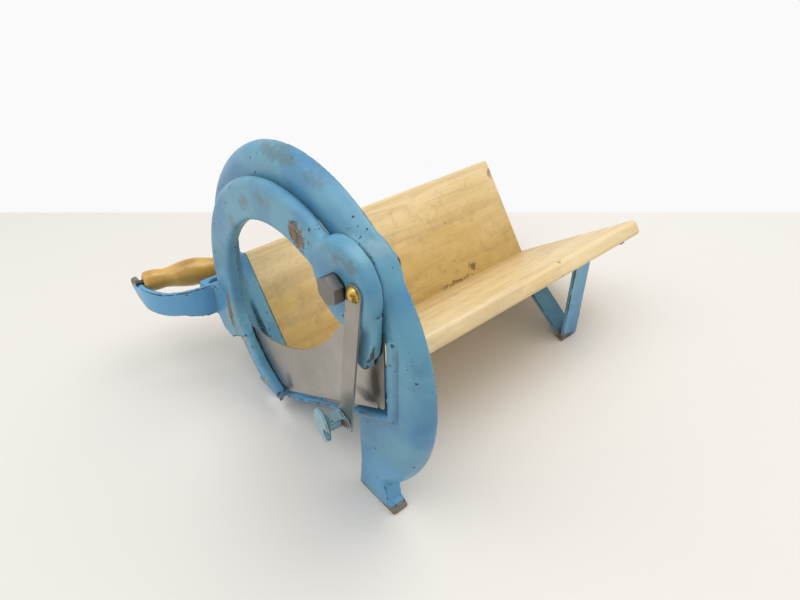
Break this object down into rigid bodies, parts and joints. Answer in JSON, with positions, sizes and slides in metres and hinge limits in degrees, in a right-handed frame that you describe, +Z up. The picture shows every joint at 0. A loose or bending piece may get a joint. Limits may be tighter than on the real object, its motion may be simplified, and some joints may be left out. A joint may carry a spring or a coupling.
{
  "type": "lever bread slicer",
  "caption": "Painted cast iron lever bread slicer with a wooden V trough, a ring-shaped arm carrying a broad steel blade, a turned wooden handle and a slice stop",
  "frame": {"origin": "on the sole of the pillar's foot, straight below the pivot axis, at the casting's mid-depth", "axes": "+X to the right, away from the handle; +Y back along the trough, the longest extent; +Z up from the table"},
  "size_m": [0.3225, 0.3865, 0.243],
  "materials": {
    "painted_iron": "worn light blue enamel on cast iron with chips and rust",
    "beech": "pale beech with a thin worn varnish",
    "varnished_grip": "turned beech under amber varnish",
    "blade_steel": "dull ground steel",
    "strip_steel": "dull plated steel strip",
    "dark_steel": "dark oiled steel fasteners",
    "brass": "tarnished brass"
  },
  "bodies": {
    "frame": {"frame_casting": "painted_iron", "pivot_bolt": "dark_steel", "head_washer": "dark_steel", "spacer_washer": "dark_steel", "back_washer": "dark_steel", "pivot_nut": "dark_steel", "left_board": "beech", "right_board": "beech", "joint_nails": "dark_steel", "left_screws": "dark_steel", "right_screws": "dark_steel", "strap_foot": "painted_iron", "strap_screws": "dark_steel", "end_screw": "dark_steel"},
    "arm": {"arm_casting": "painted_iron", "blade": "blade_steel", "blade_rivets": "brass", "finger_rivet": "dark_steel", "grip": "varnished_grip", "grip_rod": "dark_steel", "stop_screw": "brass"},
    "stop": {"stop_strip": "strip_steel", "stop_knob": "painted_iron", "stop_rivet": "dark_steel"}
  },
  "joints": [
    {"name": "arm_hinge", "type": "hinge", "parent": "frame", "child": "arm", "pos_m": [0, 0, 0.19], "axis": [0, 1, 0], "range_deg": [0, 70]},
    {"name": "stop_hinge", "type": "hinge", "parent": "arm", "child": "stop", "pos_m": [0.017, -0.0205, 0.194], "axis": [0, 1, 0], "range_deg": [-95, 0]}
  ]
}
